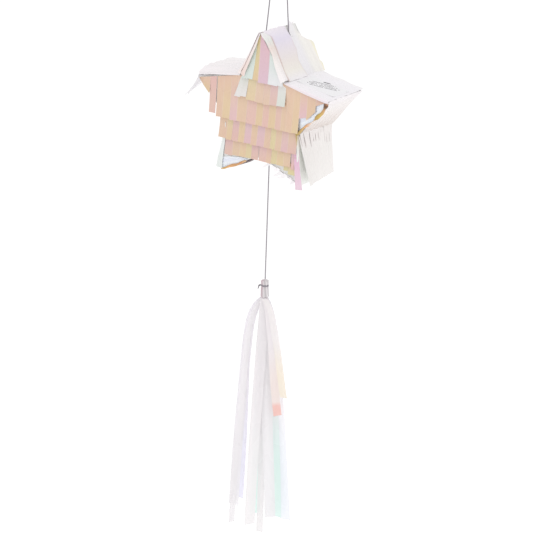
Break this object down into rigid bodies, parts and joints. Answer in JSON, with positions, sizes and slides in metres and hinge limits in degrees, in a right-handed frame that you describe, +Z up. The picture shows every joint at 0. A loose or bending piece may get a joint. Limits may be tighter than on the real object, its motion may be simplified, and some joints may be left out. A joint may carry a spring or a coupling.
{
  "type": "pinata",
  "caption": "Hollow card star pinata in film fringe that hangs on a cord loop, with a pull-down trapdoor opened by a cord that ends in a long film tassel.",
  "frame": {"origin": "the inside of the top of the hanging loop, where the hook or pin bears", "axes": "+Z up, +X to the right seen from the star's front, -Y out of the star's front face"},
  "size_m": [0.1342, 0.0484, 0.4899],
  "materials": {
    "card": "white-lined craft card, matt, fold lines at the corners",
    "fringe_film": "iridescent film, peach with pink, gold and mint strips",
    "side_film": "iridescent film, milky white with faint lavender and pink",
    "tip_film": "iridescent film seen at a mirror angle, silver white with gold edges",
    "tassel_film": "iridescent film strips, pale grey white with mint and lavender",
    "silver_cord": "fine metallic silver cord, twisted",
    "sticker_paper": "white self-adhesive paper with plain grey rules"
  },
  "bodies": {
    "hanging_loop": {"hanging_cord": "silver_cord", "hanging_stopper_left": "silver_cord", "hanging_stopper_right": "silver_cord"},
    "star": {"back_fringe_row_1": "fringe_film", "back_fringe_row_2": "fringe_film", "back_fringe_row_3": "fringe_film", "back_fringe_row_4": "fringe_film", "back_fringe_row_5": "fringe_film", "back_fringe_row_6": "fringe_film", "back_panel": "card", "front_arm_tip_film": "tip_film", "front_fringe_row_1": "fringe_film", "front_fringe_row_2": "fringe_film", "front_fringe_row_3": "fringe_film", "front_fringe_row_4": "fringe_film", "front_fringe_row_5": "fringe_film", "front_fringe_row_6": "fringe_film", "front_leg_tip_film": "tip_film", "front_panel": "card", "label_sticker": "sticker_paper", "left_arm_lower_film": "side_film", "left_arm_top_film": "side_film", "left_leg_outer_film": "side_film", "left_tip_strip": "side_film", "right_arm_lower_film": "side_film", "right_arm_top_film": "side_film", "right_leg_inner_film": "side_film", "right_leg_outer_film": "side_film", "side_band_left": "card", "side_band_right": "card", "slope_film_left_back": "side_film", "slope_film_left_front": "side_film", "slope_film_right_back": "side_film", "slope_film_right_front": "side_film"},
    "trapdoor": {"trapdoor_flap": "card", "trapdoor_film": "side_film", "anchor_stopper": "silver_cord"},
    "cord_anchor": {"anchor_knot": "silver_cord"},
    "pull_cord": {"pull_cord": "silver_cord"},
    "tassel": {"tassel_head": "tassel_film", "tassel_strip_01": "tassel_film", "tassel_strip_02": "tassel_film", "tassel_strip_03": "tassel_film", "tassel_strip_04": "tassel_film", "tassel_strip_05": "tassel_film", "tassel_strip_06": "tassel_film", "tassel_strip_07": "tassel_film", "tassel_strip_08": "tassel_film", "tassel_strip_09": "tassel_film", "tassel_strip_10": "tassel_film", "tassel_strip_11": "tassel_film", "tassel_strip_12": "tassel_film", "tassel_tie_knot": "silver_cord", "tassel_wrap": "silver_cord"}
  },
  "joints": [
    {"name": "star_tilt", "type": "hinge", "parent": "hanging_loop", "child": "star", "pos_m": [0.00147, -0.0021, -0.0698], "axis": [0.2821, 0.9594, 0], "range_deg": [-12, 12]},
    {"name": "trapdoor_hinge", "type": "hinge", "parent": "star", "child": "trapdoor", "pos_m": [-0.03303, 0, -0.17797], "axis": [0, 1, 0], "range_deg": [0, 110]},
    {"name": "knot_plumb", "type": "hinge", "parent": "trapdoor", "child": "cord_anchor", "pos_m": [-0.00325, 0, -0.16665], "axis": [0, 1, 0], "range_deg": [-110, 0]},
    {"name": "pull_cord_swing", "type": "hinge", "parent": "cord_anchor", "child": "pull_cord", "pos_m": [-0.00325, 0, -0.16665], "axis": [1, 0, 0], "range_deg": [-40, 40]},
    {"name": "tassel_swing", "type": "hinge", "parent": "pull_cord", "child": "tassel", "pos_m": [-0.00325, 0, -0.271], "axis": [0, 1, 0], "range_deg": [-35, 35]}
  ],
  "couplings": [
    {"joint": "knot_plumb", "follows": "trapdoor_hinge", "ratio": -1}
  ]
}
